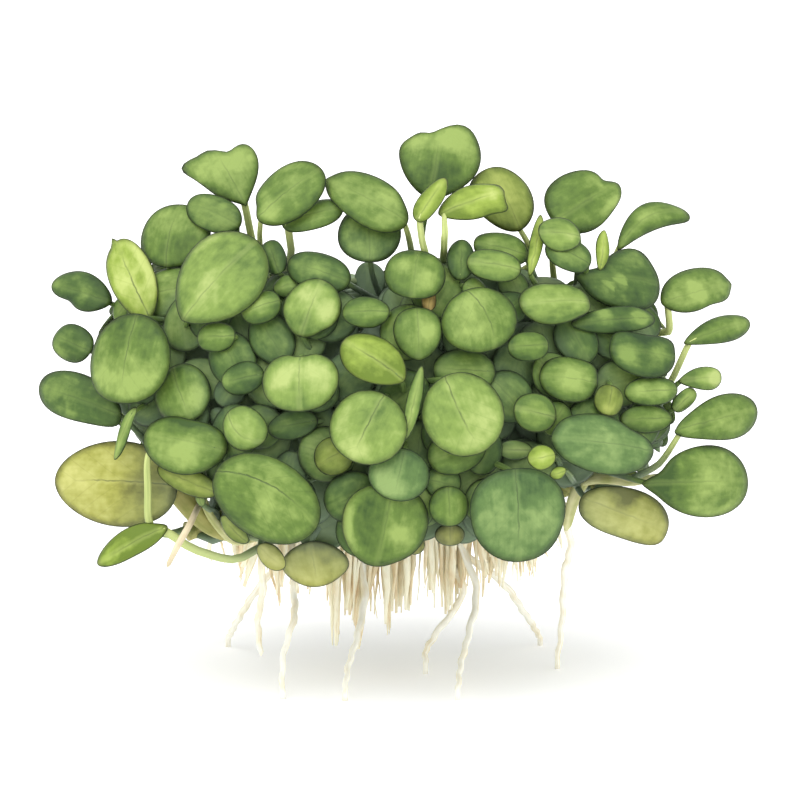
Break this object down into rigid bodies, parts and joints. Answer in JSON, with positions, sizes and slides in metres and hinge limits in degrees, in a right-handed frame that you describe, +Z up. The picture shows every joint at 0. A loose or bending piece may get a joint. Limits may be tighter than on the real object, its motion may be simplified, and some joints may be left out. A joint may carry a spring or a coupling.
{
  "type": "aquarium plant cushion",
  "caption": "Dense cushion of small round anubias leaves on pale stalks, grown from a creeping forked rhizome, standing upright on its beard of pale roots.",
  "frame": {"origin": "on the surface that the plant stands on, under the middle of its box", "axes": "+Z up, +X along the cushion's width, to the right as seen from the front, -Y towards the front"},
  "size_m": [0.106, 0.079, 0.0834],
  "materials": {
    "leaf_mid": "smooth leathery leaf, soft satin, mid green",
    "leaf_dark": "smooth leathery leaf, soft satin, dark green",
    "leaf_light": "smooth leathery leaf, soft satin, light green",
    "leaf_blue": "smooth leathery leaf, soft satin, bluish green",
    "leaf_bright": "young leaf, soft satin, bright yellow-green",
    "leaf_olive": "older leaf, soft satin, olive green",
    "leaf_yellow": "old leaf turning yellow, soft satin",
    "rhizome": "ringed olive-brown stem skin, matt",
    "root": "pale cream to tan root skin, matt"
  },
  "bodies": {
    "root": {"leaf_front_lightest_round": "leaf_light", "leaf_front_middle_round": "leaf_light", "leaf_front_notched_round": "leaf_light", "leaf_front_yellow_ellipse": "leaf_bright", "leaf_low_left_largest": "leaf_mid", "leaf_low_right_large_round": "leaf_blue", "leaf_front_blue_round": "leaf_blue", "leaf_low_middle_large": "leaf_mid", "leaf_upper_right_round": "leaf_mid", "leaf_upper_middle_round": "leaf_mid", "leaf_upper_heart_light": "leaf_light", "leaf_upper_left_large": "leaf_light", "leaf_left_olive_round": "leaf_mid", "leaf_left_shelf": "leaf_mid", "leaf_right_blue_ellipse": "leaf_blue", "leaf_right_upper_oval": "leaf_light", "leaf_right_middle_oval": "leaf_mid", "leaf_right_dark_rimmed": "leaf_dark", "leaf_right_upper_dark": "leaf_dark", "leaf_low_right_lobe": "leaf_mid", "leaf_right_bean_low": "leaf_mid", "leaf_low_right_yellow": "leaf_yellow", "leaf_low_left_yellow": "leaf_yellow", "leaf_low_left_bright": "leaf_bright", "leaf_low_middle_olive": "leaf_yellow", "leaf_left_low_dark": "leaf_dark", "leaf_left_upper_dark": "leaf_dark", "leaf_left_bright_spoon": "leaf_bright", "leaf_top_left_round": "leaf_mid", "leaf_top_left_fishtail": "leaf_mid", "leaf_top_left_ellipse": "leaf_mid", "leaf_top_middle_wide": "leaf_mid", "leaf_top_middle_shaded": "leaf_dark", "leaf_top_bright_tongue": "leaf_bright", "leaf_top_heart": "leaf_mid", "leaf_top_olive": "leaf_olive", "leaf_top_right_large": "leaf_mid", "leaf_top_right_bean": "leaf_mid", "leaf_right_upper_rim": "leaf_mid", "leaf_right_middle_rim": "leaf_mid", "leaf_back_low_left": "leaf_mid", "leaf_back_low_middle": "leaf_mid", "leaf_back_low_right": "leaf_blue", "leaf_back_upper_left": "leaf_mid", "leaf_back_upper_middle": "leaf_light", "leaf_back_upper_right": "leaf_mid", "rhizome_main": "rhizome", "rhizome_left": "rhizome", "rhizome_right": "rhizome", "rhizome_front": "rhizome", "rhizome_back": "rhizome", "rhizome_crown": "rhizome", "root_front_left": "root", "root_front_middle": "root", "root_front_right": "root", "root_middle": "root", "root_right": "root", "root_left_short": "root", "root_back_left": "root", "root_back_right": "root"}
  },
  "joints": []
}
